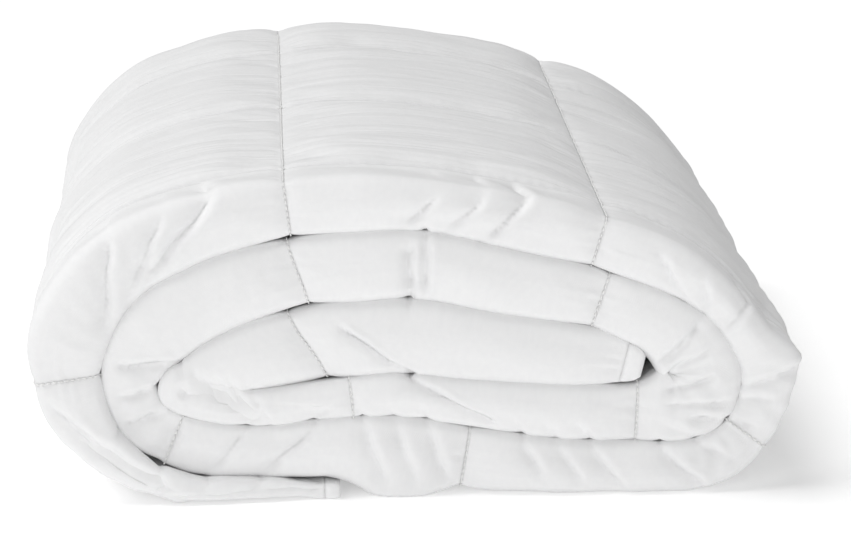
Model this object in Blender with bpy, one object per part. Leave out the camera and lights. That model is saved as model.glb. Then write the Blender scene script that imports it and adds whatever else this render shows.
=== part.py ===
"""A white box-quilted duvet, folded in half twice across its width and rolled up along its length.

The folded duvet is a band of four leaves. The band is swept along a flattened spiral, from the inner
end in the middle of the roll to the outer end, which lies under the roll's left side. Across the band
the sheet runs as one serpentine: leaf 4, the near fold, leaf 1, the far fold, leaf 2, the inner near
fold and leaf 3. Leaf 1 is outermost in the roll. Every piece is a slab that follows that serpentine
between two stations of the spiral, so that all of them keep the same clearances.
"""

import math

import bmesh
import bpy
import numpy as np

# Driving dimensions, in metres
ROLL_WIDTH = 0.490  # across the rolled duvet, over its widest wraps
ROLL_HEIGHT = 0.212  # from the floor to the top wrap
FOLDED_WIDTH = 0.550  # length of the roll: a quarter of the duvet's 2.2 m width
TAPER = 0.03  # how much slimmer the roll is at its far end, as a share
FABRIC = 0.0005  # each fabric
CLEARANCE = 0.0003  # between pieces that touch
LEAF_GAP = 0.0005  # between two leaves that lie on each other
SEAM_WIDTH = 0.0044  # the flat strip without filling where a cross seam is sewn
THREAD = 0.0012  # a line of quilting stitches
END_HEM = 0.010  # the bound edge at each end of the duvet
SIDE_HEM = 0.010  # the bound edge along each side of the duvet

# Where the cross seams between its twelve rows of boxes come along the middle of the rolled band, from
# the inner end, at the roll's own size. The cloth that this leaves over is gathered in the turns.
CROSS_SEAMS = (0.208, 0.417, 0.600, 0.749, 0.944, 1.130, 1.317, 1.508, 1.701, 1.903, 2.104)
BAND_LENGTH = 2.315  # to the outer end, measured the same way

# How finely the roll is faceted
LONGEST_STEP = 0.080
SHARPEST_STEP = math.radians(36)
OUTER_FOLD_STEPS = 4
INNER_FOLD_STEPS = 3
CURVE_STEPS = 24  # points on the spiral between two of its stations

# The spiral's stations from the inner end outwards: x, height and thickness of the band. They set its
# shape, and ROLL_WIDTH and ROLL_HEIGHT then set its size.
SPIRAL = (
    # the inner end, leftwards to the first turn
    (0.141, 0.084, 0.023),
    (0.124, 0.088, 0.032),
    (0.085, 0.0935, 0.0375),
    (0.035, 0.099, 0.043),
    (-0.010, 0.105, 0.045),
    (-0.055, 0.101, 0.045),
    (-0.095, 0.094, 0.040),
    (-0.122, 0.086, 0.027),
    # the tight first turn on the left
    (-0.1390, 0.0796, 0.0118),
    (-0.1446, 0.0774, 0.0106),
    (-0.1468, 0.0722, 0.0104),
    (-0.1446, 0.0670, 0.0104),
    (-0.1390, 0.0648, 0.0110),
    # rightwards
    (-0.122, 0.0605, 0.0165),
    (-0.098, 0.0585, 0.0175),
    (-0.055, 0.0627, 0.0190),
    (-0.010, 0.0665, 0.0230),
    (0.040, 0.061, 0.0250),
    (0.090, 0.0555, 0.0300),
    (0.135, 0.0535, 0.0320),
    (0.1600, 0.0535, 0.0320),
    # the turn on the right
    (0.1765, 0.0570, 0.0330),
    (0.1865, 0.0660, 0.0340),
    (0.1900, 0.0790, 0.0340),
    (0.1845, 0.0935, 0.0340),
    (0.1710, 0.1045, 0.0340),
    # leftwards over the first wrap
    (0.1445, 0.1175, 0.0350),
    (0.110, 0.130, 0.0360),
    (0.060, 0.141, 0.0370),
    (0.012, 0.1515, 0.0405),
    (-0.035, 0.1505, 0.0420),
    (-0.082, 0.1445, 0.0430),
    (-0.124, 0.1290, 0.0450),
    (-0.1575, 0.1070, 0.0385),
    # the second turn on the left
    (-0.1750, 0.0755, 0.0285),
    (-0.1695, 0.0545, 0.0290),
    (-0.151, 0.0405, 0.0295),
    # rightwards along the floor
    (-0.126, 0.0340, 0.0310),
    (-0.090, 0.0310, 0.0305),
    (-0.045, 0.0325, 0.0360),
    (0.000, 0.0285, 0.0430),
    (0.045, 0.0212, 0.0415),
    (0.090, 0.0168, 0.0345),
    (0.135, 0.0152, 0.0315),
    (0.175, 0.0148, 0.0305),
    # up round the pinched right corner
    (0.2060, 0.0245, 0.0270),
    (0.2235, 0.0455, 0.0260),
    (0.2300, 0.0690, 0.0285),
    (0.2275, 0.0865, 0.0285),
    (0.2150, 0.1050, 0.0250),
    # leftwards over the top
    (0.1990, 0.1260, 0.0250),
    (0.1700, 0.1485, 0.0285),
    (0.1220, 0.1670, 0.0360),
    (0.070, 0.1790, 0.0360),
    (0.020, 0.1900, 0.0310),
    (-0.030, 0.1930, 0.0350),
    (-0.084, 0.1900, 0.0390),
    (-0.133, 0.1780, 0.0430),
    (-0.175, 0.1600, 0.0440),
    # down round the left side
    (-0.2015, 0.1325, 0.0460),
    (-0.2165, 0.0960, 0.0490),
    (-0.2115, 0.0620, 0.0410),
    (-0.1945, 0.0370, 0.0290),
    # the outer end, pressed flat under the roll
    (-0.1710, 0.0180, 0.0190),
    (-0.1430, 0.0068, 0.0145),
    (-0.1000, 0.0056, 0.0125),
    (-0.0430, 0.0048, 0.0108),
)

# Materials: colour, roughness
FINISHES = {
    "face_fabric": ((0.86, 0.86, 0.86), 0.72),
    "lining_fabric": ((0.82, 0.82, 0.83), 0.76),
    "filling": ((0.90, 0.89, 0.87), 0.95),
    "hem": ((0.84, 0.84, 0.84), 0.70),
    "thread": ((0.88, 0.88, 0.88), 0.60),
}


def remove_everything():
    for thing in list(bpy.data.objects):
        bpy.data.objects.remove(thing, do_unlink=True)


def make_material(name):
    colour, roughness = FINISHES[name]
    material = bpy.data.materials.new(name)
    material.use_nodes = True
    shader = material.node_tree.nodes["Principled BSDF"]
    shader.inputs["Base Color"].default_value = (*colour, 1.0)
    shader.inputs["Roughness"].default_value = roughness
    return material


def smooth_curve(stations):
    """Points on a smooth curve through the stations, with the thickness blended along the way."""
    points = np.array(stations)
    run = np.linalg.norm(np.diff(points[:, :2], axis=0), axis=1)
    knots = np.concatenate([[0.0], np.cumsum(run)])
    slopes = np.gradient(points, knots, axis=0)
    pieces = []
    for i, length in enumerate(run):
        t = np.linspace(0.0, 1.0, CURVE_STEPS, endpoint=False)[:, None]
        pieces.append(
            (2 * t**3 - 3 * t**2 + 1) * points[i]
            + (t**3 - 2 * t**2 + t) * length * slopes[i]
            + (3 * t**2 - 2 * t**3) * points[i + 1]
            + (t**3 - t**2) * length * slopes[i + 1]
        )
    return np.vstack([*pieces, points[-1:]])


class Roll:
    """The band's inner and outer surfaces along the spiral, and the stations that every piece uses."""

    def __init__(self):
        curve = smooth_curve(SPIRAL)
        along = np.gradient(curve[:, :2], axis=0)
        along /= np.linalg.norm(along, axis=1)[:, None]
        outward = np.column_stack([along[:, 1], -along[:, 0]])
        inner = self.sized(curve[:, :2] - outward * curve[:, 2:] / 2, curve, outward)
        outer = self.sized(curve[:, :2] + outward * curve[:, 2:] / 2, curve, outward)
        middle = (inner + outer) / 2
        run = np.linalg.norm(np.diff(middle, axis=0), axis=1)
        self.distance = np.concatenate([[0.0], np.cumsum(run)])
        self.length = self.distance[-1]
        heading = np.unwrap(np.arctan2(*np.gradient(middle, axis=0).T))
        self.inner, self.outer = inner, outer
        self.turned = np.concatenate([[0.0], np.cumsum(np.abs(np.diff(heading)))])
        self.seams = [self.length * seam / BAND_LENGTH for seam in CROSS_SEAMS]
        starts = [END_HEM, *(seam + SEAM_WIDTH / 2 for seam in self.seams)]
        ends = [*(seam - SEAM_WIDTH / 2 for seam in self.seams), self.length - END_HEM]
        self.rows = list(zip(starts, ends))
        self.steps = self.choose_steps()

    @staticmethod
    def sized(surface, curve, outward):
        """A surface stretched to the roll's width and height, and pressed flat where it meets the floor."""
        outside = curve[:, :2] + outward * curve[:, 2:] / 2
        low = np.array([outside[:, 0].min(), 0.0])
        span = outside.max(axis=0) - low
        points = (surface - low) / span * (ROLL_WIDTH, ROLL_HEIGHT)
        points[:, 0] -= ROLL_WIDTH / 2
        points[:, 1] = np.maximum(points[:, 1], 0.0)
        return points

    def choose_steps(self):
        """Distances along the spiral where the pieces have an edge: both sides of each cross seam, both
        sides of the end hems, and between them as many as the turns need."""
        steps = [0.0]
        effort = self.distance / LONGEST_STEP + self.turned / SHARPEST_STEP
        for row in self.rows:
            first, last = np.interp(row, self.distance, effort)
            count = max(2, math.ceil(last - first))
            steps.extend(np.interp(np.linspace(first, last, count + 1), effort, self.distance))
        return np.array([*steps, self.length])

    def stations(self, start, end):
        """The distances of a piece's stations: its two ends and the steps between them."""
        inside = self.steps[(self.steps > start + 1e-6) & (self.steps < end - 1e-6)]
        return [start, *inside, end]

    def surfaces(self, distance):
        """The inner and outer surface at a distance, on the facets between the two nearest steps."""
        corners = [
            [np.interp(self.steps, self.distance, side[:, k]) for k in (0, 1)]
            for side in (self.inner, self.outer)
        ]
        return [np.array([np.interp(distance, self.steps, c) for c in side]) for side in corners]


def fold(centre_y, centre, radius, steps, towards, upwards):
    """Stations of a fold across the band: a half circle, each with its place and its outward direction."""
    angles = np.linspace(-math.pi / 2, math.pi / 2, steps + 1)
    return [
        (
            centre_y + towards * radius * math.cos(a),
            centre + upwards * radius * math.sin(a),
            towards * math.cos(a),
            upwards * math.sin(a),
        )
        for a in angles
    ]


def serpentine(thickness, side_edge):
    """The middle of the sheet across a band of this thickness: (y, height in the band, and the direction
    in which the face fabric lies), from the free edge of leaf 4 to the free edge of leaf 3."""
    leaf = thickness / 4
    near = -FOLDED_WIDTH / 2 + thickness / 2
    far = FOLDED_WIDTH / 2 - leaf
    outer_fold = fold(near, thickness / 2, 1.5 * leaf, OUTER_FOLD_STEPS, -1, 1)
    far_fold = fold(far, 3 * leaf, leaf / 2, INNER_FOLD_STEPS, 1, -1)
    inner_fold = fold(near, thickness / 2, leaf / 2, INNER_FOLD_STEPS, -1, -1)
    inner_fold = [(y, n, -dy, -dn) for y, n, dy, dn in inner_fold]
    return [
        (side_edge, leaf / 2, 0.0, -1.0),
        *outer_fold,
        *far_fold,
        *inner_fold,
        (side_edge, 1.5 * leaf, 0.0, 1.0),
    ]


def placed(x, y, z):
    """A point of the straight roll, moved in towards the floor's middle line as the roll gets slimmer."""
    slim = 1.0 - TAPER * (y / FOLDED_WIDTH + 0.5)
    return x * slim, y, z * slim


def section(roll, distance, side_edge, from_face, depth):
    """Two rows of points across the band, on the two sides of a layer of the sheet. from_face is how far
    the layer lies below the face side, and depth is its own thickness, or None to reach the lining."""
    inner, outer = roll.surfaces(distance)
    thickness = float(np.linalg.norm(outer - inner))
    up = (outer - inner) / thickness
    leaf = thickness / 4 - LEAF_GAP
    top = leaf / 2 - from_face
    bottom = -leaf / 2 + from_face if depth is None else top - depth
    rows = []
    for level in (top, bottom):
        row = []
        for y, height, face_y, face_up in serpentine(thickness, side_edge):
            x, z = inner + up * (height + level * face_up)
            row.append(placed(x, y + level * face_y, z))
        rows.append(row)
    return rows


def make_slab(name, finish, sections):
    """A closed body through a list of sections, each a top and a bottom row of points."""
    mesh = bmesh.new()
    rows = [[[mesh.verts.new(point) for point in row] for row in part] for part in sections]

    def wall(a, b):
        for i in range(len(a) - 1):
            mesh.faces.new((a[i], a[i + 1], b[i + 1], b[i]))

    for (top, bottom), (next_top, next_bottom) in zip(rows, rows[1:]):
        wall(next_top, top)
        wall(bottom, next_bottom)
        for edge in (0, -1):
            corners = (top[edge], next_top[edge], next_bottom[edge], bottom[edge])
            mesh.faces.new(corners if edge == 0 else corners[::-1])
    wall(*rows[0])
    wall(*rows[-1][::-1])
    bmesh.ops.triangulate(mesh, faces=mesh.faces, quad_method="FIXED")
    bmesh.ops.recalc_face_normals(mesh, faces=mesh.faces)
    data = bpy.data.meshes.new(name)
    mesh.to_mesh(data)
    mesh.free()
    data.materials.append(FINISHES_MADE[finish])
    piece = bpy.data.objects.new(name, data)
    bpy.data.collections["rolled_duvet"].objects.link(piece)


def make_layer(roll, name, finish, start, end, side_edge, from_face, depth):
    """A layer of the sheet, over the whole width of the duvet, between two distances along the roll."""
    sections = [
        section(roll, distance, side_edge, from_face, depth)
        for distance in roll.stations(start, end)
    ]
    make_slab(name, finish, sections)


def make_side_hem(roll, name, leaf_number):
    """The bound long edge of a leaf, at the far end of the roll."""
    start = FOLDED_WIDTH / 2 - SIDE_HEM
    sections = []
    for distance in roll.stations(0.0, roll.length):
        inner, outer = roll.surfaces(distance)
        span = outer - inner
        gap = span / np.linalg.norm(span) * LEAF_GAP / 2
        low = inner + span * (4 - leaf_number) / 4 + gap
        high = inner + span * (5 - leaf_number) / 4 - gap
        sections.append(
            [[placed(x, y, z) for y in (start, FOLDED_WIDTH / 2)] for x, z in (high, low)]
        )
    make_slab(name, "hem", sections)


def make_duvet():
    roll = Roll()
    cloth_edge = FOLDED_WIDTH / 2 - SIDE_HEM - CLEARANCE
    start, end = END_HEM, roll.length - END_HEM
    lining_depth = FABRIC + CLEARANCE
    make_layer(roll, "face_fabric", "face_fabric", start, end, cloth_edge, 0.0, FABRIC)
    make_lining(roll, start, end, cloth_edge)
    for number, (first, last) in enumerate(roll.rows, 1):
        name = f"filling_row_{number:02d}"
        make_layer(roll, name, "filling", first, last, cloth_edge, lining_depth, None)
    for number, seam in enumerate(roll.seams, 1):
        name = f"cross_stitch_{number:02d}"
        ends = seam - THREAD / 2, seam + THREAD / 2
        make_layer(roll, name, "thread", *ends, cloth_edge, lining_depth, None)
    make_layer(roll, "inner_end_hem", "hem", 0.0, start - CLEARANCE, cloth_edge, 0.0, None)
    make_layer(roll, "outer_end_hem", "hem", end + CLEARANCE, roll.length, cloth_edge, 0.0, None)
    make_side_hem(roll, "first_side_hem", 4)
    make_side_hem(roll, "second_side_hem", 3)


def make_lining(roll, start, end, side_edge):
    """The lining, which mirrors the face fabric on the sheet's other side."""
    sections = []
    for distance in roll.stations(start, end):
        inner, outer = roll.surfaces(distance)
        leaf = float(np.linalg.norm(outer - inner)) / 4 - LEAF_GAP
        sections.append(section(roll, distance, side_edge, leaf - FABRIC, FABRIC))
    make_slab("lining_fabric", "lining_fabric", sections)


remove_everything()
FINISHES_MADE = {name: make_material(name) for name in FINISHES}
bpy.context.scene.collection.children.link(bpy.data.collections.new("rolled_duvet"))
make_duvet()
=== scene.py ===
"""Looks for the rolled box-quilted duvet: quilted cloth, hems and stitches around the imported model."""
import math

import bpy
import numpy as np
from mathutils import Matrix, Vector


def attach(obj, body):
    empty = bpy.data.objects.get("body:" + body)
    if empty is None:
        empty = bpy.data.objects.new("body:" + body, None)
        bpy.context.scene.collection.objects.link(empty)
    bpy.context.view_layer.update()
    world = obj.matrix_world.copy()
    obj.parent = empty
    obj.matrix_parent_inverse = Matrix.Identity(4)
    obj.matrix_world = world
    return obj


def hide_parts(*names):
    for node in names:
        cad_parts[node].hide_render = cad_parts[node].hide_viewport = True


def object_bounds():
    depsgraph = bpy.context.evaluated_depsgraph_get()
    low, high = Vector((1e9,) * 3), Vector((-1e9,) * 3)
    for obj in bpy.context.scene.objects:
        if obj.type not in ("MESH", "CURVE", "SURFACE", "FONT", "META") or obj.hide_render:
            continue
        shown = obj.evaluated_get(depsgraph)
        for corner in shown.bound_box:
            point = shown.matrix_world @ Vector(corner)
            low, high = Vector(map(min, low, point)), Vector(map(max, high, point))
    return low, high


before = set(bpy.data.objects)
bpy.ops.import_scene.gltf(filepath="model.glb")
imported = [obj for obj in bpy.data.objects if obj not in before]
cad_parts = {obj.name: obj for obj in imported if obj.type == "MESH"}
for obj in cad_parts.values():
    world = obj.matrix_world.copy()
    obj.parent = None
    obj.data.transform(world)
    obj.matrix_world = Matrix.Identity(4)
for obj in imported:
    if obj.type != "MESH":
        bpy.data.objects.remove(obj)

CAD_BOX = [list(corner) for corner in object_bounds()]
LOW, HIGH = np.array(CAD_BOX[0]), np.array(CAD_BOX[1])
ROLL_WIDTH, FOLDED_WIDTH, ROLL_HEIGHT = HIGH - LOW

# The way the duvet is quilted, in metres
TAPER = 0.03  # how much slimmer the roll is at its far end, as a share
ROWS = 12
HEM = 0.010  # width of the turned edges
LEAF_GAP = 0.0008
SEAM_LOFT = 0.0014  # half the sheet's thickness where it is sewn through
SEAM_EASE = 0.017  # how far from a seam the filling reaches its full height
LENGTH_SEAMS = (0.050, 0.250, 0.450)  # on leaf 1, measured round the sheet from the near fold's tip
UNDER_SEAMS = (-0.150, -0.350)  # on leaf 4
CROSS_SEAMS = (0.208, 0.417, 0.600, 0.749, 0.944, 1.130, 1.317, 1.508, 1.701, 1.903, 2.104)
BAND_LENGTH = 2.315

# The middle of the band: x, height and thickness, from the inner end outwards
SPIRAL = (
    # the inner end, leftwards to the first turn
    (0.141, 0.084, 0.023),
    (0.124, 0.088, 0.032),
    (0.085, 0.0935, 0.0375),
    (0.035, 0.099, 0.043),
    (-0.010, 0.105, 0.045),
    (-0.055, 0.101, 0.045),
    (-0.095, 0.094, 0.040),
    (-0.122, 0.086, 0.027),
    # the tight first turn on the left
    (-0.1390, 0.0796, 0.0118),
    (-0.1446, 0.0774, 0.0106),
    (-0.1468, 0.0722, 0.0104),
    (-0.1446, 0.0670, 0.0104),
    (-0.1390, 0.0648, 0.0110),
    # rightwards
    (-0.122, 0.0605, 0.0165),
    (-0.098, 0.0585, 0.0175),
    (-0.055, 0.0627, 0.0190),
    (-0.010, 0.0665, 0.0230),
    (0.040, 0.061, 0.0250),
    (0.090, 0.0555, 0.0300),
    (0.135, 0.0535, 0.0320),
    (0.1600, 0.0535, 0.0320),
    # the turn on the right
    (0.1765, 0.0570, 0.0330),
    (0.1865, 0.0660, 0.0340),
    (0.1900, 0.0790, 0.0340),
    (0.1845, 0.0935, 0.0340),
    (0.1710, 0.1045, 0.0340),
    # leftwards over the first wrap
    (0.1445, 0.1175, 0.0350),
    (0.110, 0.130, 0.0360),
    (0.060, 0.141, 0.0370),
    (0.012, 0.1515, 0.0405),
    (-0.035, 0.1505, 0.0420),
    (-0.082, 0.1445, 0.0430),
    (-0.124, 0.1290, 0.0450),
    (-0.1575, 0.1070, 0.0385),
    # the second turn on the left
    (-0.1750, 0.0755, 0.0285),
    (-0.1695, 0.0545, 0.0290),
    (-0.151, 0.0405, 0.0295),
    # rightwards along the floor
    (-0.126, 0.0340, 0.0310),
    (-0.090, 0.0310, 0.0305),
    (-0.045, 0.0325, 0.0360),
    (0.000, 0.0285, 0.0430),
    (0.045, 0.0212, 0.0415),
    (0.090, 0.0168, 0.0345),
    (0.135, 0.0152, 0.0315),
    (0.175, 0.0148, 0.0305),
    # up round the pinched right corner
    (0.2060, 0.0245, 0.0270),
    (0.2235, 0.0455, 0.0260),
    (0.2300, 0.0690, 0.0285),
    (0.2275, 0.0865, 0.0285),
    (0.2150, 0.1050, 0.0250),
    # leftwards over the top
    (0.1990, 0.1260, 0.0250),
    (0.1700, 0.1485, 0.0285),
    (0.1220, 0.1670, 0.0360),
    (0.070, 0.1790, 0.0360),
    (0.020, 0.1900, 0.0310),
    (-0.030, 0.1930, 0.0350),
    (-0.084, 0.1900, 0.0390),
    (-0.133, 0.1780, 0.0430),
    (-0.175, 0.1600, 0.0440),
    # down round the left side
    (-0.2015, 0.1325, 0.0460),
    (-0.2165, 0.0960, 0.0490),
    (-0.2115, 0.0620, 0.0410),
    (-0.1945, 0.0370, 0.0290),
    # the outer end, pressed flat under the roll
    (-0.1710, 0.0180, 0.0190),
    (-0.1430, 0.0068, 0.0145),
    (-0.1000, 0.0056, 0.0125),
    (-0.0430, 0.0048, 0.0108),
)

# Groups of creases on the near fold, spread evenly from the first of a group to its last, in metres:
# the first's start and end as (x, height), the last's, then how many, depth and half width
CREASE_GROUPS = (
    # the outer wrap: under its left turn, over its middle and at its right turn
    (((-0.13, 0.19), (-0.16, 0.15)), ((-0.19, 0.16), (-0.19, 0.12)), 3, 0.0042, 0.006),
    (((0.01, 0.19), (0.00, 0.18)), ((0.07, 0.19), (0.05, 0.17)), 3, 0.0030, 0.005),
    (((0.16, 0.15), (0.17, 0.13)), ((0.21, 0.12), (0.20, 0.11)), 3, 0.0022, 0.005),
    # the middle wrap: its deep pinch, its left turn and its right turn
    (((0.00, 0.16), (0.00, 0.13)), ((0.01, 0.17), (0.01, 0.14)), 2, 0.0055, 0.004),
    (((-0.18, 0.09), (-0.15, 0.09)), ((-0.18, 0.05), (-0.15, 0.06)), 3, 0.0036, 0.004),
    (((0.16, 0.09), (0.18, 0.11)), ((0.17, 0.06), (0.19, 0.06)), 4, 0.0032, 0.004),
    # the inner wraps: the long tuck in two strokes, and the left turn
    (((-0.04, 0.11), (0.00, 0.08)), ((0.00, 0.08), (0.05, 0.05)), 2, 0.0040, 0.003),
    (((-0.13, 0.08), (-0.12, 0.07)), ((-0.10, 0.07), (-0.09, 0.05)), 4, 0.0024, 0.005),
    # the lowest wrap, from its left end to its right turn
    (((-0.15, 0.04), (-0.16, 0.02)), ((-0.06, 0.05), (-0.09, 0.02)), 3, 0.0030, 0.006),
    (((-0.03, 0.05), (-0.02, 0.02)), ((0.01, 0.05), (0.02, 0.02)), 3, 0.0030, 0.006),
    (((0.07, 0.04), (0.08, 0.02)), ((0.11, 0.04), (0.13, 0.01)), 3, 0.0026, 0.005),
    (((0.16, 0.03), (0.18, 0.01)), ((0.21, 0.07), (0.24, 0.08)), 5, 0.0030, 0.005),
    # the outer end: its shoulder and its tip
    (((-0.22, 0.06), (-0.19, 0.04)), ((-0.20, 0.04), (-0.16, 0.02)), 3, 0.0028, 0.006),
    (((-0.16, 0.01), (-0.11, 0.01)), ((-0.09, 0.00), (-0.06, 0.01)), 4, 0.0022, 0.005),
)

CURVE_STEPS = 24  # points on the spiral between two of its stations
TOUCH = 0.0001  # half of the gap left between wraps that press together
MOST_SWELL = 0.016  # how far a wrap swells at most before it meets the next
CORNER = 1.545  # the pinched corner on the right, along the band
SLANTS = ((1, 0.0095), (5, 0.0035))  # cross seams that run askew over the near fold
SMOOTHING = 5  # times the simulated move is averaged with its neighbours
FOLD_STATIONS = 31  # vertices round the near fold
LIP = 0.0020  # how far the folds' lips press towards each other
SQUARENESS = 0.22  # of the near fold's section; 1 is round
FINE = 0.0040  # mesh size on cloth that shows
PLAIN = 0.0055  # and along the inner wraps
OUTER_ROWS = (8, 9, 10, 11, 12)  # the rows whose leaf 1 shows on the outside
HEM_SIDES = 12  # of the tube that a side hem is made as
ON_FLOOR = 0.0004  # lowest height of cloth that rests on the floor
CLOTH_FRAMES = 16  # length of the simulation
SEWN_WITHIN = 0.0021  # cloth this near a lengthwise seam is held in the simulation
PUFF_LIMIT = 0.0065  # most that the simulation moves the cloth
END_PUFF_LIMIT = 0.0020  # and on the outer end, which lies under the roll
FOLD_PUFF = 0.08  # share of that limit on the near fold


def smooth_curve(stations):
    """Points on a smooth curve through the stations."""
    points = np.array(stations)
    run = np.linalg.norm(np.diff(points[:, :2], axis=0), axis=1)
    knots = np.concatenate([[0.0], np.cumsum(run)])
    slopes = np.gradient(points, knots, axis=0)
    pieces = []
    for i, length in enumerate(run):
        t = np.linspace(0.0, 1.0, CURVE_STEPS, endpoint=False)[:, None]
        pieces.append(
            (2 * t**3 - 3 * t**2 + 1) * points[i]
            + (t**3 - 2 * t**2 + t) * length * slopes[i]
            + (3 * t**2 - 2 * t**3) * points[i + 1]
            + (t**3 - t**2) * length * slopes[i + 1]
        )
    return np.vstack([*pieces, points[-1:]])


def averaged(values, reach):
    """A smooth running average over this many values on each side."""
    window = np.hanning(2 * reach + 1)
    return np.convolve(np.pad(values, reach, mode="edge"), window / window.sum(), mode="valid")


class Roll:
    """The band's inner and outer surfaces along the spiral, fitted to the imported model."""

    def __init__(self):
        curve = smooth_curve(SPIRAL)
        along = np.gradient(curve[:, :2], axis=0)
        along /= np.linalg.norm(along, axis=1)[:, None]
        outward = np.column_stack([along[:, 1], -along[:, 0]])
        inner = curve[:, :2] - outward * curve[:, 2:] / 2
        outer = curve[:, :2] + outward * curve[:, 2:] / 2
        low = np.array([outer[:, 0].min(), 0.0])
        span = outer.max(axis=0) - low
        size = np.array([ROLL_WIDTH, ROLL_HEIGHT])
        self.inner, self.outer = ((side - low) / span * size for side in (inner, outer))
        for side in (self.inner, self.outer):
            side[:, 0] -= ROLL_WIDTH / 2
            side[:, 1] = np.maximum(side[:, 1], 0.0)
        middle = (self.inner + self.outer) / 2
        run = np.linalg.norm(np.diff(middle, axis=0), axis=1)
        self.distance = np.concatenate([[0.0], np.cumsum(run)])
        self.length = self.distance[-1]
        heading = np.unwrap(np.arctan2(*np.gradient(middle, axis=0).T))
        bend = np.gradient(heading, self.distance)
        self.bend = averaged(bend, 20)
        even = np.exp(-((self.bend / 11.0) ** 2))[:, None] * (self.distance > 1.55)[:, None]
        even = np.minimum(even, smoothstep(self.length - 0.30 - self.distance, 0.0, 0.05)[:, None])
        for side in (self.inner, self.outer):
            calm = np.column_stack([averaged(values, 37) for values in side.T])
            side += (calm - side) * even
        self.seams = [self.length * seam / BAND_LENGTH for seam in CROSS_SEAMS]
        self.swells = self.room()

    def at(self, distance):
        """Inner point, direction to the outer surface, thickness and bend at each distance."""
        inner, outer = (
            np.column_stack([np.interp(distance, self.distance, side[:, k]) for k in (0, 1)])
            for side in (self.inner, self.outer)
        )
        thickness = np.linalg.norm(outer - inner, axis=1)
        bend = np.interp(distance, self.distance, self.bend)
        return inner, (outer - inner) / thickness[:, None], thickness, bend

    def room(self):
        """How far the band can swell outwards and inwards at the near fold, until the wraps meet."""
        apart = np.abs(self.distance[:, None] - self.distance[None, :]) > 0.10
        gaps = {}
        for a, b in (("outer", "inner"), ("inner", "outer"), ("inner", "inner")):
            first, second = getattr(self, a), getattr(self, b)
            reach = np.linalg.norm(first[:, None] - second[None, :], axis=2)
            ahead = self.distance[None, :] > self.distance[:, None]
            allowed = apart & (ahead if a == "outer" else ~ahead if b == "outer" else apart)
            gaps[a, b] = np.where(allowed, reach, 1.0).min(axis=1)
        inward = np.minimum(gaps["inner", "outer"], gaps["inner", "inner"])
        swells = []
        for gap in (gaps["outer", "inner"], inward):
            swell = np.where(gap < 0.055, np.clip(gap / 2 - TOUCH, 0.0, MOST_SWELL), 0.0)
            swells.append(averaged(swell, 12))
        return swells


def across_stations(fine):
    """Where the sheet's vertices lie across the band, as (region, share of the region)."""
    step = FINE if fine else PLAIN
    stations = [("leaf4", f) for f in (1.0, 0.80, 0.62, 0.44, 0.28, 0.19)]
    stations += [("leaf4", f) for f in np.linspace(0.15, 0.0, 16)[:-1]]
    stations += [("near", a) for a in fold_angles(FOLD_STATIONS)]
    if fine:
        stations += [("leaf1", f) for f in np.linspace(0.0, 1.0, round(0.515 / step))[1:-1]]
    else:
        stations += [("leaf1", f) for f in np.linspace(0.0, 0.16, 16)[1:]]
        stations += [("leaf1", f) for f in (0.20, 0.26, 0.36, 0.50, 0.66, 0.80, 0.90, 0.95)]
    stations += [("far", a) for a in np.linspace(-math.pi / 2, math.pi / 2, 11)]
    stations += [("leaf2", f) for f in (0.04, 0.12, 0.3, 0.5, 0.7, 0.88)]
    stations += [("inner", a) for a in np.linspace(-math.pi / 2, math.pi / 2, 7)]
    stations += [("leaf3", f) for f in (0.12, 0.3, 0.5, 0.7, 0.88, 0.96, 1.0)]
    return stations


def squared(share, power):
    return math.copysign(abs(share) ** power, share)


def fold_angles(count):
    """Angles round the squarish near fold that are evenly spaced along its section."""
    angles = np.linspace(-math.pi / 2, math.pi / 2, 4001)
    across = np.abs(np.cos(angles)) ** SQUARENESS
    along = np.sign(np.sin(angles)) * np.abs(np.sin(angles)) ** SQUARENESS
    run = np.concatenate([[0.0], np.cumsum(np.hypot(np.diff(across), np.diff(along)))])
    found = np.interp(np.linspace(0, run[-1], count), run, angles)
    found[count // 2] = 0.0
    return found


def lay_out(stations, thickness):
    """(y, height in the band, direction of the face side) of each station at each thickness."""
    leaf = thickness / 4
    near = LOW[1] + thickness / 2
    far = HIGH[1] - leaf
    edge = HIGH[1] - HEM
    columns = []
    for region, value in stations:
        c = math.cos(value)
        s = math.sin(value)
        o = np.zeros_like(leaf)
        steep = math.hypot(c ** (2 - SQUARENESS), abs(s) ** (2 - SQUARENESS))
        columns.append(
            {
                "leaf4": lambda: (near + (edge - near) * value, leaf / 2, o, o - 1),
                "near": lambda: (
                    near - 1.5 * leaf * squared(c, SQUARENESS),
                    2 * leaf + 1.5 * leaf * squared(s, SQUARENESS),
                    o - squared(c, 2 - SQUARENESS) / steep,
                    o + squared(s, 2 - SQUARENESS) / steep,
                ),
                "leaf1": lambda: (near + (far - near) * value, 3.5 * leaf, o, o + 1),
                "far": lambda: (far + leaf / 2 * c, 3 * leaf - leaf / 2 * s, o + c, o - s),
                "leaf2": lambda: (far + (near - far) * value, 2.5 * leaf, o, o - 1),
                "inner": lambda: (near - leaf / 2 * c, 2 * leaf - leaf / 2 * s, o + c, o + s),
                "leaf3": lambda: (near + (edge - near) * value, 1.5 * leaf, o, o + 1),
            }[region]()
        )
    return [np.stack([column[k] for column in columns], axis=1) for k in range(4)]


def noise(seed, *axes):
    """Smooth noise from -1 to 1 over coordinates already divided by the noise's size: a few sine waves."""
    rng = np.random.default_rng(seed)
    total = 0.0
    for _ in range(7):
        phase = rng.uniform(0, 2 * math.pi)
        angle = phase
        for axis in axes:
            angle = angle + axis * rng.uniform(0.5, 1.5) * rng.choice([-1, 1]) * 2
        total = total + np.sin(angle)
    return total / 7 * 1.6


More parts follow.
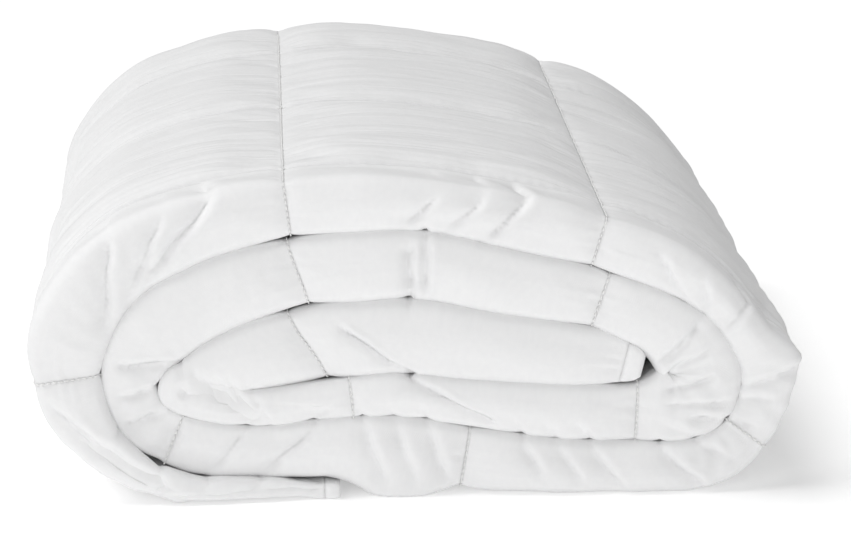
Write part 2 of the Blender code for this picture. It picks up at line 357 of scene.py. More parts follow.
def ease(distance, width):
    return 1.0 - np.exp(-np.abs(distance) / width)


def end_round(distance, reach, least):
    """How much of the band's thickness is left near its end, which is rounded off over this reach."""
    inside = np.clip(distance / reach, 0.0, 1.0)
    return least + (1 - least) * np.sqrt(1 - (1 - inside) ** 2)


class Sheet:
    """One row of boxes: a grid of points on the cloth's face side and lining side.

    s is the distance along the band, and v the distance round the sheet from the near fold's tip, over
    leaf 1 when it is positive and over leaf 4 when it is negative."""

    def __init__(self, roll, number, start, end):
        self.roll, self.number, self.start, self.end = roll, number, start, end
        self.fine = number in OUTER_ROWS
        step = FINE if self.fine else PLAIN * 0.7
        count = max(4, round((self.end - self.start) / step))
        self.s = np.linspace(self.start, self.end, count + 1)
        self.inner, self.up, self.thickness, self.bend = roll.at(self.s)
        rounded = np.minimum(end_round(self.s, 0.026, 0.30), end_round(roll.length - self.s, 0.012, 0.62))
        self.inner = self.inner + self.up * (self.thickness * (1 - rounded) / 2)[:, None]
        self.thickness = self.thickness * rounded
        self.stations = across_stations(self.fine)
        regions = [region for region, _ in self.stations]
        self.shown = np.array([r in ("near", "leaf1") for r in regions])
        self.shown |= np.array([r == "leaf4" and f < 0.16 for r, f in self.stations])
        self.y, self.height, self.face_y, self.face_up = lay_out(self.stations, self.thickness)
        run = np.hypot(np.diff(self.y, axis=1), np.diff(self.height, axis=1))
        v = np.concatenate([np.zeros((len(self.s), 1)), np.cumsum(run, axis=1)], axis=1)
        tip = regions.index("near") + FOLD_STATIONS // 2
        self.v = v - v[:, tip : tip + 1]
        self.regions = np.array(regions)
        sides = np.isin(self.regions, ("near", "leaf1", "leaf4"))
        self.rise = np.clip((self.height / self.thickness[:, None] - 0.5) * 8 / 3, -1, 1) * sides
        self.grid_s = np.repeat(self.s[:, None], len(self.stations), axis=1)
        self.seam_s = np.minimum(self.grid_s - self.start, self.end - self.grid_s)
        lines = np.array([*LENGTH_SEAMS, *UNDER_SEAMS])
        self.seam_v = np.abs(self.v[:, :, None] - lines).min(axis=2)
        free = np.isin(self.regions, ("leaf3", "leaf4"))
        self.seam_v[:, free] = np.minimum(self.seam_v[:, free], (HIGH[1] - HEM - self.y)[:, free])

    def loft(self):
        """Half the sheet's thickness everywhere: full in the middle of a box, flat where it is sewn."""
        leaf = self.thickness[:, None] / 4 - LEAF_GAP
        full = np.repeat(leaf / 2, len(self.stations), axis=1)
        puff = ease(self.seam_s, SEAM_EASE) * (0.15 + 0.85 * ease(self.seam_v, 0.8 * SEAM_EASE))
        return SEAM_LOFT + (full - SEAM_LOFT) * np.minimum(1.12 * puff, 1.0)

    def points(self, level):
        """World points at a height above the middle of the sheet, towards its face side."""
        height = self.height + level * self.face_up
        y = self.y + level * self.face_y
        x = self.inner[:, :1] + self.up[:, :1] * height
        z = self.inner[:, 1:] + self.up[:, 1:] * height
        return np.stack([x, y, z], axis=2)


def slim(points):
    """Moves points in towards the floor's middle line, as the roll gets slimmer to its far end."""
    share = 1.0 - TAPER * ((points[..., 1] - LOW[1]) / FOLDED_WIDTH)
    points = points.copy()
    points[..., 0] *= share
    points[..., 2] *= share
    return points


def grid_faces(rows, columns, offset=0, flip=False):
    i, j = np.meshgrid(np.arange(rows - 1), np.arange(columns - 1), indexing="ij")
    a = (i * columns + j).ravel() + offset
    quads = np.stack([a, a + 1, a + columns + 1, a + columns], axis=1)
    return quads[:, ::-1] if flip else quads


def mesh_from(name, points, faces, smooth=True):
    mesh = bpy.data.meshes.new(name)
    faces = np.asarray(faces, np.int32)
    mesh.vertices.add(len(points))
    mesh.vertices.foreach_set("co", np.asarray(points, np.float32).ravel())
    mesh.loops.add(faces.size)
    mesh.loops.foreach_set("vertex_index", faces.ravel())
    mesh.polygons.add(len(faces))
    mesh.polygons.foreach_set("loop_start", np.arange(len(faces), dtype=np.int32) * faces.shape[1])
    mesh.update(calc_edges=True)
    if smooth:
        mesh.shade_smooth()
    ob = bpy.data.objects.new(name, mesh)
    bpy.context.scene.collection.objects.link(ob)
    return ob


# ---------------------------------------------------------------- cloth


def simulate(sheets, faces):
    """Puffs the cloth of each row: pressure under it, a little more cloth than the box has room for, and
    every sewn line held. Returns each row's new face points."""
    scene = bpy.context.scene
    scene.frame_start, scene.frame_end = 1, CLOTH_FRAMES
    objects = []
    for sheet, points in zip(sheets, faces):
        rows, columns = points.shape[:2]
        ob = mesh_from(f"cloth_{sheet.number:02d}", points.reshape(-1, 3), grid_faces(rows, columns))
        held = ob.vertex_groups.new(name="held")
        stiff = np.zeros((rows, columns))
        stiff[0] = stiff[-1] = 1.0
        stiff[:, ~sheet.shown] = 1.0
        stiff[sheet.seam_v < SEWN_WITHIN] = 1.0
        stiff = stiff.ravel()
        held.add(np.flatnonzero(stiff == 1.0).tolist(), 1.0, "REPLACE")
        cloth = ob.modifiers.new("cloth", "CLOTH")
        s = cloth.settings
        s.quality = 4  # steps a frame
        s.mass = 0.25
        s.tension_stiffness = s.compression_stiffness = 12
        s.shear_stiffness = 3
        s.bending_stiffness = 0.3
        s.tension_damping = s.compression_damping = 8
        s.air_damping = 2
        s.use_pressure = True
        s.uniform_pressure_force = 1.5
        s.shrink_min = -0.035
        s.shrink_max = -0.035
        s.vertex_group_mass = "held"
        s.effector_weights.gravity = 0
        cloth.collision_settings.use_collision = False
        cloth.collision_settings.use_self_collision = False
        cloth.point_cache.frame_start = 1
        cloth.point_cache.frame_end = CLOTH_FRAMES
        objects.append(ob)
    for number in range(1, CLOTH_FRAMES + 1):
        scene.frame_set(number)
    graph = bpy.context.evaluated_depsgraph_get()
    results = []
    for ob, points in zip(objects, faces):
        shape = ob.evaluated_get(graph)
        co = np.empty(len(shape.data.vertices) * 3, np.float32)
        shape.data.vertices.foreach_get("co", co)
        results.append(co.reshape(points.shape).astype(float))
    scene.frame_set(1)
    for ob in objects:
        mesh = ob.data
        bpy.data.objects.remove(ob)
        bpy.data.meshes.remove(mesh)
    return results


def unit(vectors):
    return vectors / np.maximum(np.linalg.norm(vectors, axis=-1, keepdims=True), 1e-12)


def grid_normals(points):
    along = np.gradient(points, axis=0)
    across = np.gradient(points, axis=1)
    return unit(np.cross(across, along))


def refined(points):
    """Twice as fine a grid, on smooth curves through the points."""
    for axis in (0, 1):
        p = np.moveaxis(points, axis, 0)
        before, after = np.concatenate([p[:1], p[:-2]]), np.concatenate([p[2:], p[-1:]])
        middle = (-before + 9 * p[:-1] + 9 * p[1:] - after) / 16
        fine = np.empty((2 * len(p) - 1, *p.shape[1:]))
        fine[::2] = p
        fine[1::2] = middle
        points = np.moveaxis(fine, 0, axis)
    return points


def smoothstep(value, low, high):
    t = np.clip((value - low) / (high - low), 0.0, 1.0)
    return t * t * (3 - 2 * t)


def pleats(s, v, seam_s):
    """Long pleats along the band, on the flat of leaf 1 and stronger beside a cross seam."""
    panel = smoothstep(v, 0.046, 0.062)
    near_seam = np.exp(-seam_s / 0.045)
    sharp = 1 - 2 * np.abs(noise(11, v / 0.0042, s / 0.075 + 4 * v))
    broad = noise(12, v / 0.0085, s / 0.11)
    return panel * (0.75 + 0.50 * near_seam) * (0.00125 * sharp + 0.00070 * broad)


def seam_lips(seam_v):
    """The groove that a lengthwise seam is sewn in, and the lips beside it."""
    lip = 0.0016 * np.exp(-(((seam_v - 0.0060) / 0.0026) ** 2))
    groove = 0.0022 * np.exp(-seam_v / 0.0026)
    return lip - groove


def wrinkles(s, v, seam_s, seam_v, bend):
    """Height of the cloth's creases: pleats along the band, puckers at the seams, gathers in the turns."""
    height = pleats(s, v, seam_s)
    upper = smoothstep(v, -0.02, 0.02)
    puckers = noise(13, s / 0.0040, v / 0.03)
    height += 0.00035 * puckers * np.exp(-seam_v / 0.007) * upper
    height += upper * seam_lips(seam_v)
    ragged = 0.6 + 0.5 * noise(18, v / 0.0040)
    cross = noise(14, v / 0.0024, s / 0.03)
    height += 0.00075 * cross * np.exp(-seam_s / 0.009) - 0.0015 * ragged * np.exp(-seam_s / 0.0032)
    tight = np.exp(-np.maximum(np.abs(bend) - 50.0, 0.0) / 25.0)
    turn = np.clip(np.abs(bend) / 28.0, 0.0, 1.0) * tight
    inside = 1 - smoothstep(v, -0.004, 0.040)
    gathers = noise(15, (s + 0.45 * v) / 0.0060, v / 0.03)
    height += 0.0010 * turn * inside * gathers
    front = 1 - smoothstep(v, 0.040, 0.056)
    height += front * 0.0007 * noise(16, (s - 0.7 * v) / 0.022, (v + 0.3 * s) / 0.026)
    return height


def crease_lines():
    """Each crease of each group: its start, its end, its depth and its half width."""
    for first, last, count, depth, half_width in CREASE_GROUPS:
        for number in range(count):
            share = number / max(count - 1, 1)
            start, end = np.array(first) * (1.0 - share) + np.array(last) * share
            yield start, end, depth * (0.75 if number % 2 else 1.0), half_width


def pressed_creases(points, v):
    """How far the named creases sink into the cloth: a sharp valley with a soft ridge beside it."""
    height = np.zeros(v.shape)
    face = np.exp(-np.maximum(np.abs(v) - 0.034, 0.0) / 0.005)
    x, z = points[..., 0], points[..., 2] - 0.25 * (points[..., 1] - LOW[1])
    for (xa, za), (xb, zb), depth, width in crease_lines():
        length = math.hypot(xb - xa, zb - za)
        ux, uz = (xb - xa) / length, (zb - za) / length
        along = (x - xa) * ux + (z - za) * uz
        waver = 0.0005 * np.sin(along * 200 + xa * 900)
        aside = ((x - xa) * -uz + (z - za) * ux + waver) / (0.8 * width)
        beyond = np.maximum(np.abs(along - length / 2) - length / 2, 0.0) / (width * 1.6)
        valley = np.exp(-np.abs(aside) * np.where(aside > 0, 2.2, 0.75))
        ridge = 0.12 * np.exp(-((aside - 1.3) ** 2) * 1.6)
        height -= 1.75 * depth * (valley - ridge) * np.exp(-(beyond**2))
    return height * face


def capped(base, moved, limit):
    """Each point's move from its base, softly kept under a limit."""
    step = moved - base
    length = np.linalg.norm(step, axis=-1, keepdims=True)
    return base + step * limit / np.sqrt(limit**2 + length**2 + 1e-18)


def closed_slab(name, top, bottom):
    """A closed body between two grids of points."""
    rows, columns = top.shape[:2]
    count = rows * columns
    index = np.arange(count).reshape(rows, columns)
    rim = np.concatenate([index[0, :-1], index[:-1, -1], index[-1, :0:-1], index[:0:-1, 0]])
    after = np.roll(rim, -1)
    walls = np.stack([after, rim, rim + count, after + count], axis=1)
    faces = np.concatenate([grid_faces(rows, columns), grid_faces(rows, columns, count, True), walls])
    return mesh_from(name, np.concatenate([top.reshape(-1, 3), bottom.reshape(-1, 3)]), faces)


def add_uv(ob, s, v):
    """The cloth's own coordinates at each vertex, in metres along and across the duvet."""
    both = np.stack([s.ravel(), v.ravel()], axis=1)
    loops = np.empty(len(ob.data.loops), np.int32)
    ob.data.loops.foreach_get("vertex_index", loops)
    layer = ob.data.uv_layers.new(name="cloth")
    layer.data.foreach_set("uv", both[loops].astype(np.float32).ravel())


def finish_piece(ob, material, nodes=()):
    ob.data.materials.append(material)
    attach(ob, "root")
    if nodes:
        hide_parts(*nodes)
    return ob


def stitches(name, paths, pitch=0.0038, length=0.0028, width=0.0011):
    """A line of machine stitches along each path, given as points and the cloth's normals there."""
    sides = np.linspace(0, 2 * math.pi, 6, endpoint=False)
    profile = ((-0.5, 0.25), (-0.32, 0.9), (0.0, 1.0), (0.32, 0.9), (0.5, 0.25))
    points, faces = [], []
    for path, normals in paths:
        run = np.concatenate([[0.0], np.cumsum(np.linalg.norm(np.diff(path, axis=0), axis=1))])
        for at in np.arange(pitch / 2, run[-1] - length / 2, pitch):
            centre, ahead, normal = (
                np.array([np.interp(at + d, run, grid[:, k]) for k in range(3)])
                for d, grid in ((0.0, path), (length / 4, path), (0.0, normals))
            )
            along = unit(ahead - centre)
            normal = unit(normal - along * (normal @ along))
            side = np.cross(along, normal)
            first = len(points)
            for place, size in profile:
                middle = centre + along * place * length + normal * width * (0.25 * size - 0.05)
                for a in sides:
                    points.append(middle + (side * math.cos(a) + normal * math.sin(a)) * width / 2 * size)
            for ring in range(len(profile) - 1):
                for k in range(6):
                    a, b = first + ring * 6 + k, first + ring * 6 + (k + 1) % 6
                    faces.append((a, b, b + 6, a + 6))
            for ring, order in ((0, (5, 4, 3, 2, 1, 0)), (len(profile) - 1, range(6))):
                corner = [first + ring * 6 + k for k in order]
                faces.append((corner[0], corner[1], corner[2], corner[3]))
                faces.append((corner[0], corner[3], corner[4], corner[5]))
    return mesh_from(name, points, faces)


# ---------------------------------------------------------------- materials


def new_group(name, inputs, outputs):
    group = bpy.data.node_groups.new(name, "ShaderNodeTree")
    for socket, kind, value in inputs:
        item = group.interface.new_socket(name=socket, in_out="INPUT", socket_type=kind)
        item.default_value = value
    for socket, kind in outputs:
        group.interface.new_socket(name=socket, in_out="OUTPUT", socket_type=kind)
    return group, group.nodes.new("NodeGroupInput"), group.nodes.new("NodeGroupOutput")


def math_node(tree, operation, a, b=None):
    node = tree.nodes.new("ShaderNodeMath")
    node.operation = operation
    for socket, value in zip(node.inputs, (a, b)):
        if isinstance(value, bpy.types.NodeSocket):
            tree.links.new(value, socket)
        elif value is not None:
            socket.default_value = value
    return node.outputs[0]


def weave_group():
    """Plain weave on the cloth's own coordinates: height of the threads, and slubs that vary slowly."""
    tree, inside, outside = new_group(
        "plain_weave",
        [("Vector", "NodeSocketVector", (0, 0, 0)), ("Threads per Metre", "NodeSocketFloat", 1600.0)],
        [("Height", "NodeSocketFloat"), ("Slub", "NodeSocketFloat")],
    )
    apart = tree.nodes.new("ShaderNodeSeparateXYZ")
    tree.links.new(inside.outputs["Vector"], apart.inputs[0])
    waves = []
    for axis in (0, 1):
        turns = math_node(tree, "MULTIPLY", apart.outputs[axis], inside.outputs["Threads per Metre"])
        wave = math_node(tree, "SINE", math_node(tree, "MULTIPLY", turns, math.pi))
        waves.append(wave)
    cross = math_node(tree, "MULTIPLY", waves[0], waves[1])
    height = math_node(tree, "ADD", math_node(tree, "MULTIPLY", cross, 0.5), 0.5)
    slub = tree.nodes.new("ShaderNodeTexNoise")
    slub.noise_dimensions = "2D"
    slub.inputs["Scale"].default_value = 260.0
    slub.inputs["Detail"].default_value = 4.0
    tree.links.new(inside.outputs["Vector"], slub.inputs["Vector"])
    tree.links.new(height, outside.inputs["Height"])
    tree.links.new(slub.outputs[0], outside.inputs["Slub"])
    return tree


def creases_group():
    """Fine soft creases over the surface, from two sizes of stretched noise."""
    tree, inside, outside = new_group(
        "fine_creases",
        [
            ("Vector", "NodeSocketVector", (0, 0, 0)),
            ("Scale", "NodeSocketFloat", 60.0),
            ("Stretch", "NodeSocketFloat", 0.25),
        ],
        [("Height", "NodeSocketFloat")],
    )
    stretch = tree.nodes.new("ShaderNodeCombineXYZ")
    tree.links.new(inside.outputs["Stretch"], stretch.inputs[0])
    stretch.inputs[1].default_value = 1.0
    scaled = tree.nodes.new("ShaderNodeVectorMath")
    scaled.operation = "MULTIPLY"
    tree.links.new(inside.outputs["Vector"], scaled.inputs[0])
    tree.links.new(stretch.outputs[0], scaled.inputs[1])
    total = None
    for factor, weight in ((1.0, 0.65), (2.7, 0.35)):
        field = tree.nodes.new("ShaderNodeTexNoise")
        field.noise_dimensions = "2D"
        field.inputs["Detail"].default_value = 3.0
        tree.links.new(scaled.outputs[0], field.inputs["Vector"])
        tree.links.new(math_node(tree, "MULTIPLY", inside.outputs["Scale"], factor), field.inputs["Scale"])
        part = math_node(tree, "MULTIPLY", field.outputs[0], weight)
        total = part if total is None else math_node(tree, "ADD", total, part)
    tree.links.new(total, outside.inputs["Height"])
    return tree


def new_material(name):
    material = bpy.data.materials.new(name)
    material.use_nodes = True
    return material, material.node_tree, material.node_tree.nodes["Principled BSDF"]


def blended_colour(tree, shader, factor, first, second):
    """A base colour between two, by a mask."""
    mix = tree.nodes.new("ShaderNodeMix")
    mix.data_type = "RGBA"
    mix.inputs["A"].default_value = (*first, 1)
    mix.inputs["B"].default_value = (*second, 1)
    tree.links.new(factor, mix.inputs["Factor"])
    tree.links.new(mix.outputs["Result"], shader.inputs["Base Color"])


def blended_roughness(tree, shader, factor, spread, least):
    rough = math_node(tree, "ADD", math_node(tree, "MULTIPLY", factor, spread), least)
    tree.links.new(rough, shader.inputs["Roughness"])


def bump_node(tree, height, strength, distance):
    bump = tree.nodes.new("ShaderNodeBump")
    bump.inputs["Strength"].default_value = strength
    bump.inputs["Distance"].default_value = distance
    tree.links.new(height, bump.inputs["Height"])
    return bump


def cloth_material(name, colour, darker, roughness, sheen, weave, creases, crease_depth, threads):
    """Cotton: weave, slubs that vary its colour and roughness, and fine creases, on its own coordinates."""
    material, tree, shader = new_material(name)
    shader.inputs["Sheen Weight"].default_value = sheen
    shader.inputs["Sheen Roughness"].default_value = 0.45
    shader.inputs["Specular IOR Level"].default_value = 0.25
    shader.inputs["Subsurface Weight"].default_value = 0.0
    where = tree.nodes.new("ShaderNodeUVMap")
    where.uv_map = "cloth"
    threads_node = tree.nodes.new("ShaderNodeGroup")
    threads_node.node_tree = weave
    threads_node.inputs["Threads per Metre"].default_value = threads
    tree.links.new(where.outputs[0], threads_node.inputs["Vector"])
    fold = tree.nodes.new("ShaderNodeGroup")
    fold.node_tree = creases
    tree.links.new(where.outputs[0], fold.inputs["Vector"])
    slub = threads_node.outputs["Slub"]
    blended_colour(tree, shader, slub, darker, colour)
    blended_roughness(tree, shader, slub, 0.12, roughness - 0.06)
    soft = bump_node(tree, fold.outputs["Height"], 1.0, crease_depth)
    fine = bump_node(tree, threads_node.outputs["Height"], 0.35, 0.00012)
    tree.links.new(soft.outputs[0], fine.inputs["Normal"])
    tree.links.new(fine.outputs[0], shader.inputs["Normal"])
    return material


def thread_material():
    """Twisted sewing thread: fine slanted lines of its plies, with painted shade darkening the grooves
    between the plies.
    """
    material, tree, shader = new_material("sewing_thread")
    shader.inputs["Sheen Weight"].default_value = 0.15
    place = tree.nodes.new("ShaderNodeTexCoord")
    ply_and_painted_shade = tree.nodes.new("ShaderNodeTexWave")
    ply_and_painted_shade.bands_direction = "DIAGONAL"
    ply_and_painted_shade.inputs["Scale"].default_value = 900.0
    tree.links.new(place.outputs["Object"], ply_and_painted_shade.inputs["Vector"])
    # painted shade: the thread's colour is darker in the grooves between the plies, where the bump is low
    blended_colour(tree, shader, ply_and_painted_shade.outputs["Fac"], (0.80, 0.80, 0.79), (0.90, 0.90, 0.89))
    blended_roughness(tree, shader, ply_and_painted_shade.outputs["Fac"], 0.15, 0.45)
    bump = bump_node(tree, ply_and_painted_shade.outputs["Fac"], 0.5, 0.0001)
    tree.links.new(bump.outputs[0], shader.inputs["Normal"])
    return material


# ---------------------------------------------------------------- the duvet


def lift_to_neighbours(sheet, roll):
    """How far the near fold swells out of and into the spiral, with a lip where two wraps press."""
    outward, inward = (np.interp(sheet.s, roll.distance, side)[:, None] for side in roll.swells)
    inward = inward * np.exp(-np.maximum(np.abs(sheet.bend) - 20.0, 0.0) / 22.0)[:, None]
    inward = np.where(np.abs(sheet.bend)[:, None] > 60.0, 0.0023, inward)
    rise = sheet.rise
    held = 1 - smoothstep(np.abs(sheet.v), 0.040, 0.090)
    free = 1 - smoothstep(sheet.grid_s, roll.length - 0.05, roll.length - 0.01)
    swelling = np.where(rise > 0, outward, inward)
    depth = sheet.y - sheet.y.min(axis=1, keepdims=True)
    lip = smoothstep(np.abs(rise), 0.45, 0.90) * (1 - smoothstep(depth, 0.007, 0.018))
    pressed = np.sign(rise) * LIP * lip * np.clip(swelling / 0.0008, 0.0, 1.0)
    return (swelling * rise + pressed) * held * free


def swell(sheet, roll):
    """Swells the near fold until the wraps meet, and draws the outer end and the corner out."""
    rise = sheet.rise
    lift = lift_to_neighbours(sheet, roll)
    move = np.stack([lift * sheet.up[:, :1], 0 * lift, lift * sheet.up[:, 1:]], axis=2)
    move[..., 1] -= 0.0045 * (sheet.regions == "near") * (1 - rise**2) * ease(sheet.seam_s, 0.02)
    near = 1 - smoothstep(np.abs(sheet.v), 0.02, 0.20)
    out = smoothstep(sheet.grid_s, roll.length - 0.26, roll.length - 0.14)
    back = 1 - 0.75 * smoothstep(sheet.grid_s, roll.length - 0.10, roll.length)
    move[..., 1] -= 0.011 * near * out * back
    move[..., 0] += 0.007 * np.exp(-sheet.grid_s / 0.030) * near
    reach = 1 - smoothstep(np.abs(sheet.v), 0.02, 0.16)
    corner = np.exp(-(((sheet.grid_s - CORNER) / 0.011) ** 2)) * reach
    move[..., 0] += 0.0070 * corner * np.maximum(rise, 0)
    ahead = np.stack([-sheet.up[:, 1], sheet.up[:, 0]], axis=1)
    fold = 1 - smoothstep(np.abs(sheet.v), 0.03, 0.09)
    for seam, slant in SLANTS:
        off = sheet.grid_s - roll.seams[seam - 1]
        shift = slant * rise * np.exp(-((off / 0.030) ** 2)) * fold
        move[..., 0] += shift * ahead[:, :1]
        move[..., 2] += shift * ahead[:, 1:]
    return move


def gentle(moved, base, limit, sewn):
    """The simulated move, smoothed over a few cells, held at the seams and softly capped."""
    move = moved - base
    for axis in (0, 1):
        for _ in range(SMOOTHING):
            pad = [(1, 1) if k == axis else (0, 0) for k in range(3)]
            wide = np.pad(move, pad, mode="edge")
            first = np.take(wide, range(0, move.shape[axis]), axis)
            last = np.take(wide, range(2, move.shape[axis] + 2), axis)
            move = (first + 2 * move + last) / 4
    return capped(base, base + move * sewn, limit)


def puffed_top(sheet, base, moved):
    """The face side after the simulation, held at the seams and kept near the shape it started from."""
    limit = END_PUFF_LIMIT if sheet.number == ROWS else PUFF_LIMIT
    limit = limit * np.exp(-np.maximum(np.abs(sheet.bend) - 25.0, 0.0) / 25.0)
    loose = FOLD_PUFF + (1 - FOLD_PUFF) * smoothstep(np.abs(sheet.v), 0.036, 0.066)
    sewn = ease(sheet.seam_v, 0.007) * ease(sheet.seam_s, 0.006)
    return slim(gentle(moved, base, (limit[:, None] * loose)[..., None], sewn[..., None]))


def creased(sheet, top, s, v, rise, bend, shown):
    """The fine face side with its wrinkles and creases, which fade where two wraps press together."""
    seam_s = np.clip(np.minimum(s - sheet.start, sheet.end - s), 0.0, None)
    seam_v = np.abs(v[..., None] - np.array([*LENGTH_SEAMS, *UNDER_SEAMS])).min(axis=2)
    fade = np.clip(shown[..., 0], 0, 1) * ease(seam_s, 0.003)
    on_fold = 1 - smoothstep(np.abs(v), 0.034, 0.050)
    pinched = 1 - 0.6 * smoothstep(np.abs(rise), 0.55, 0.95) * on_fold
    open_turn = np.exp(-np.maximum(np.abs(bend) - 45.0, 0.0) / 20.0)
    height = wrinkles(s, v, seam_s, seam_v, bend) + pressed_creases(top, v) * open_turn
    outside = (rise > 0) & (sheet.number in OUTER_ROWS)
    height = height * np.where(outside, 1.0, pinched)
    return top + grid_normals(top) * (height * fade)[..., None]


def build_rows(roll, cloth):
    """The twelve rows of boxes. Returns each row's final face grid, for the stitches to lie on."""
    ends = [HEM, *roll.seams, roll.length - HEM]
    sheets = [Sheet(roll, number, ends[number - 1], ends[number]) for number in range(1, ROWS + 1)]
    moves = [swell(sheet, roll) for sheet in sheets]
    flat = [sheet.points(sheet.loft()) + move for sheet, move in zip(sheets, moves)]
    puffed = simulate(sheets, flat)
    grids = []
    for sheet, base, moved, move in zip(sheets, flat, puffed, moves):
        top = refined(puffed_top(sheet, base, moved))
        under = refined(slim(sheet.points(-sheet.loft()) + move))
        shown = refined(np.repeat(sheet.shown[None, :, None].astype(float), sheet.v.shape[0], axis=0))
        bends = np.repeat(sheet.bend[:, None], sheet.v.shape[1], axis=1)
        fields = (sheet.grid_s, sheet.v, sheet.rise, bends)
        s, v, rise, bend = (refined(field[..., None])[..., 0] for field in fields)
        top = creased(sheet, top, s, v, rise, bend, shown)
        top[..., 2] = np.maximum(top[..., 2], ON_FLOOR)
        under[..., 2] = np.maximum(under[..., 2], 2 * ON_FLOOR)
        ob = closed_slab(f"quilted_row_{sheet.number:02d}", top, under)
        add_uv(ob, np.stack([s, s]), np.stack([v, v]))
        nodes = [f"filling_row_{sheet.number:02d}"]
        if sheet.number == 1:
            nodes += ["face_fabric", "lining_fabric"]
        finish_piece(ob, cloth, nodes)
        grids.append((sheet, top, s, v))
    return grids


def end_hem(roll, cloth, name, start, end):
    """The turned edge across the duvet at one end of the band."""
    sheet = Sheet(roll, 0, start, end)
    across = np.linspace(-1, 1, len(sheet.s))[:, None]
    level = SEAM_LOFT * (0.55 + 0.55 * np.sqrt(1 - 0.8 * across**2)) * np.ones_like(sheet.y)
    move = swell(sheet, roll)
    top, under = (slim(sheet.points(side) + move) for side in (level, -level))
    ob = closed_slab(name + "_cloth", top, under)
    add_uv(ob, np.stack([sheet.grid_s] * 2), np.stack([sheet.v] * 2))
    finish_piece(ob, cloth, [name])


def tube_faces(count):
    """The quads round a tube of this many rings, and those that close its two ends."""
    faces = [
        (i * HEM_SIDES + k, i * HEM_SIDES + j, (i + 1) * HEM_SIDES + j, (i + 1) * HEM_SIDES + k)
        for i in range(count - 1)
        for k, j in enumerate([*range(1, HEM_SIDES), 0])
    ]
    for first, order in ((0, 1), ((count - 1) * HEM_SIDES, -1)):
        for k in range(1, HEM_SIDES - 2, 2):
            corners = [first, first + k, first + k + 1, first + k + 2]
            faces.append(tuple(corners[::-order]))
    return faces


def side_hem(roll, cloth, name, share):
    """A turned long edge at the far end: a flat waving tube at this share of the band's thickness."""
    ring = np.linspace(0, 2 * math.pi, HEM_SIDES, endpoint=False)
    s = np.arange(0.0, roll.length, 0.004)
    inner, up, thickness, _ = roll.at(s)
    wave = 0.0010 * noise(21, s / 0.012) + 0.0016 * noise(22, s / 0.03)
    y = HIGH[1] - 0.0055 + 0.0052 * np.sign(np.cos(ring)) * np.abs(np.cos(ring)) ** 0.5
    level = 0.0019 * np.sign(np.sin(ring)) * np.abs(np.sin(ring)) ** 0.5
    height = (thickness * share + wave)[:, None] + level
    x = inner[:, :1] + up[:, :1] * height
    z = inner[:, 1:] + up[:, 1:] * height
    points = slim(np.stack([x, np.tile(y, (len(s), 1)), z], axis=2))
    points[..., 2] = np.maximum(points[..., 2], ON_FLOOR)
    ob = mesh_from(name + "_cloth", points.reshape(-1, 3), tube_faces(len(s)))
    add_uv(ob, np.repeat(s, HEM_SIDES), np.tile(ring * 0.003, len(s)))
    finish_piece(ob, cloth, [name])


def build_hems(roll, cloth):
    """The turned edges: across the duvet at both ends of the band, and along it at the far end."""
    end_hem(roll, cloth, "inner_end_hem", 0.0, HEM)
    end_hem(roll, cloth, "outer_end_hem", roll.length - HEM, roll.length)
    side_hem(roll, cloth, "first_side_hem", 0.125)
    side_hem(roll, cloth, "second_side_hem", 0.375)


def build_stitches(grids, thread):
    """Cross seams between the rows, and the lengthwise seams over leaf 1."""
    for number, (sheet, top, _, v) in enumerate(grids[:-1], 1):
        row = v[-1]
        shows = sheet.fine or grids[number][0].fine
        over = (row > -0.055) & (row < (0.53 if shows else 0.075))
        normals = grid_normals(top)[-1]
        path = top[-1][over] + normals[over] * 0.0005
        ob = stitches(f"cross_stitch_{number:02d}_thread", [(path, normals[over])])
        finish_piece(ob, thread, [f"cross_stitch_{number:02d}"])
    for name, line in zip(("near", "middle", "far"), LENGTH_SEAMS):
        paths = []
        for sheet, top, _, v in grids:
            if not sheet.fine:
                continue
            slopes = grid_normals(top)
            path, normals = (
                np.array([[np.interp(line, v[i], grid[i, :, k]) for k in range(3)] for i in range(len(v))])
                for grid in (top, slopes)
            )
            paths.append((path + normals * 0.0003, normals))
        ob = stitches(f"length_stitch_{name}", paths)
        finish_piece(ob, thread)


# ---------------------------------------------------------------- studio


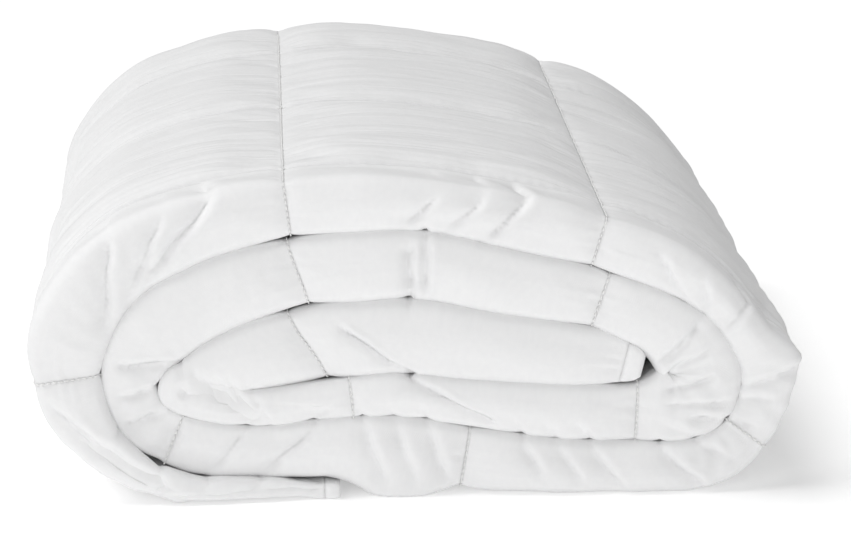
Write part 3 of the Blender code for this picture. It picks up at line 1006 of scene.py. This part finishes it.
def build_studio():
    """A pale floor, an even white world, a soft light in front and a sun above."""
    floor = mesh_from("floor", [(-6, -6, 0), (6, -6, 0), (6, 6, 0), (-6, 6, 0)], [(0, 1, 2, 3)])
    material, _, shader = new_material("pale_floor")
    shader.inputs["Base Color"].default_value = (0.95, 0.95, 0.95, 1)
    shader.inputs["Roughness"].default_value = 0.9
    shader.inputs["Specular IOR Level"].default_value = 0.1
    shader.inputs["Emission Color"].default_value = (1, 1, 1, 1)
    shader.inputs["Emission Strength"].default_value = 0.24
    floor.data.materials.append(material)
    world = bpy.data.worlds.new("studio")
    world.use_nodes = True
    world.node_tree.nodes["Background"].inputs["Color"].default_value = (1, 1, 1, 1)
    world.node_tree.nodes["Background"].inputs["Strength"].default_value = 0.27
    bpy.context.scene.world = world
    bpy.context.scene.view_settings.view_transform = "Standard"
    for name, kind, place, size, power in (
        ("front", "AREA", (-0.5, -3.2, 1.3), 1.8, 30.0),
        ("top", "SUN", (-1.15, 0.2, 2.3), 0.9, 1.95),
    ):
        light = bpy.data.lights.new(name, kind)
        light.energy = power
        if kind == "SUN":
            light.angle = size
        else:
            light.size = size
        lamp = bpy.data.objects.new(name, light)
        lamp.location = place
        lamp.rotation_euler = (Vector((0, 0, 0.1)) - Vector(place)).to_track_quat("-Z", "Y").to_euler()
        bpy.context.scene.collection.objects.link(lamp)


def build_camera():
    """A long lens in front of the near fold, a little above it."""
    azimuth, elevation, distance = math.radians(-2.63), math.radians(14.16), 2.787
    aim = Vector((0.0218, 0.0, 0.0785))
    back = Vector(
        (
            math.sin(azimuth) * math.cos(elevation),
            -math.cos(azimuth) * math.cos(elevation),
            math.sin(elevation),
        )
    )
    camera = bpy.data.cameras.new("camera")
    camera.sensor_width = 36.0
    camera.lens = 4000 / 851 * camera.sensor_width
    camera.clip_end = 50.0
    ob = bpy.data.objects.new("camera", camera)
    ob.location = aim + back * distance
    ob.rotation_euler = (-back).to_track_quat("-Z", "Y").to_euler()
    bpy.context.scene.collection.objects.link(ob)
    bpy.context.scene.camera = ob


def build_duvet():
    weave, creases = weave_group(), creases_group()
    cloth = cloth_material(
        "white_shell_cloth",
        colour=(0.85, 0.85, 0.85),
        darker=(0.81, 0.81, 0.815),
        roughness=0.78,
        sheen=0.12,
        weave=weave,
        creases=creases,
        crease_depth=0.0006,
        threads=1600.0,
    )
    hem = cloth_material(
        "white_hem",
        colour=(0.86, 0.86, 0.86),
        darker=(0.82, 0.82, 0.825),
        roughness=0.75,
        sheen=0.10,
        weave=weave,
        creases=creases,
        crease_depth=0.0003,
        threads=1500.0,
    )
    thread = thread_material()
    roll = Roll()
    grids = build_rows(roll, cloth)
    build_hems(roll, hem)
    build_stitches(grids, thread)


build_duvet()
build_studio()
build_camera()
